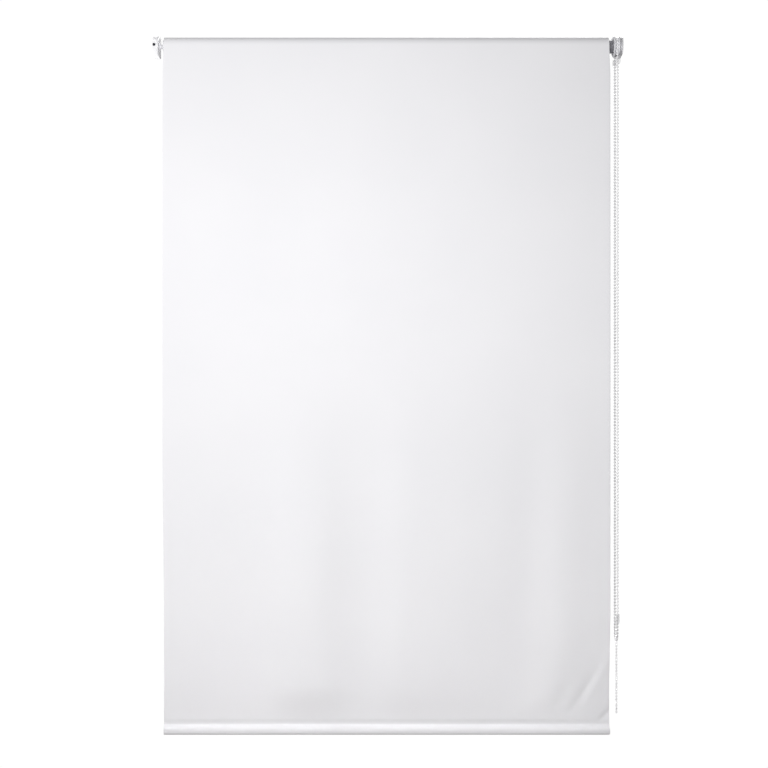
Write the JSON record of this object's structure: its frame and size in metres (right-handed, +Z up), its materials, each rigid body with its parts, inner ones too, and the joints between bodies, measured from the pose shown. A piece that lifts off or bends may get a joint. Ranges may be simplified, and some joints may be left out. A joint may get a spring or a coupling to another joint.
{
  "type": "roller blind",
  "caption": "Wall-mounted roller blind worked by a bead chain: brackets, tube with wound cloth, clutch, spring idle pin, hanging cloth and weighted hem.",
  "frame": {"origin": "on the wall plane, midway across the cloth's width and level with the roller's axis", "axes": "+X along the roller towards the chain end, +Y into the wall, +Z up"},
  "size_m": [0.9069, 0.067, 1.337],
  "materials": {
    "white_paint": "satin white powder coat",
    "dark_screw": "blackened",
    "white_plastic": "smooth white",
    "clear_plastic": "translucent",
    "white_cloth": "smooth coated blackout cloth",
    "tube_metal": "plain drawn tube",
    "bar_steel": "zinc plated",
    "spring_steel": "bright spring wire",
    "tape": "double-sided tape"
  },
  "bodies": {
    "fixed": {"bracket_left": "white_paint", "bracket_right": "white_paint", "wall_screw_left": "dark_screw", "wall_screw_right_upper": "dark_screw", "wall_screw_right_lower": "dark_screw", "pin_bush": "white_plastic", "clutch_mandrel": "white_plastic", "chain_guide": "clear_plastic", "retaining_clip": "spring_steel", "cloth_panel": "white_cloth", "chain_loop": "white_plastic"},
    "roller": {"roller_tube": "tube_metal", "cloth_tape": "tape", "wound_cloth": "white_cloth", "idle_plug": "white_plastic", "plug_cap": "white_plastic", "idle_spring": "spring_steel", "chain_wheel": "white_plastic", "drive_adaptor": "white_plastic", "wrap_spring_inner": "spring_steel", "wrap_spring_outer": "spring_steel"},
    "idle_pin": {"idle_pin": "white_plastic"},
    "hem": {"hem_pocket": "white_cloth", "bottom_bar": "bar_steel", "bar_plug_left": "white_plastic", "bar_plug_right": "white_plastic"},
    "chain_joiner": {"joiner_half_front": "clear_plastic", "joiner_half_back": "clear_plastic", "chain_tail": "white_plastic"}
  },
  "joints": [
    {"name": "hem_lift", "type": "slide", "parent": "fixed", "child": "hem", "axis": [0, 0, 1], "range_m": [0, 1.2], "deforming": ["cloth_panel"]},
    {"name": "roller_turn", "type": "hinge", "parent": "fixed", "child": "roller", "pos_m": [0, -0.025, 0], "axis": [-1, 0, 0], "range_deg": [0, 3600]},
    {"name": "joiner_slide", "type": "slide", "parent": "fixed", "child": "chain_joiner", "axis": [0, 0, 1], "range_m": [0, 0.96]},
    {"name": "pin_press", "type": "slide", "parent": "roller", "child": "idle_pin", "axis": [1, 0, 0], "range_m": [0, 0.007], "stiffness_N_per_m": 400, "springref_m": -0.005, "deforming": ["idle_spring"]}
  ],
  "couplings": [
    {"joint": "roller_turn", "follows": "hem_lift", "rad_per_m": 52.36},
    {"joint": "joiner_slide", "follows": "hem_lift", "ratio": 0.8}
  ]
}
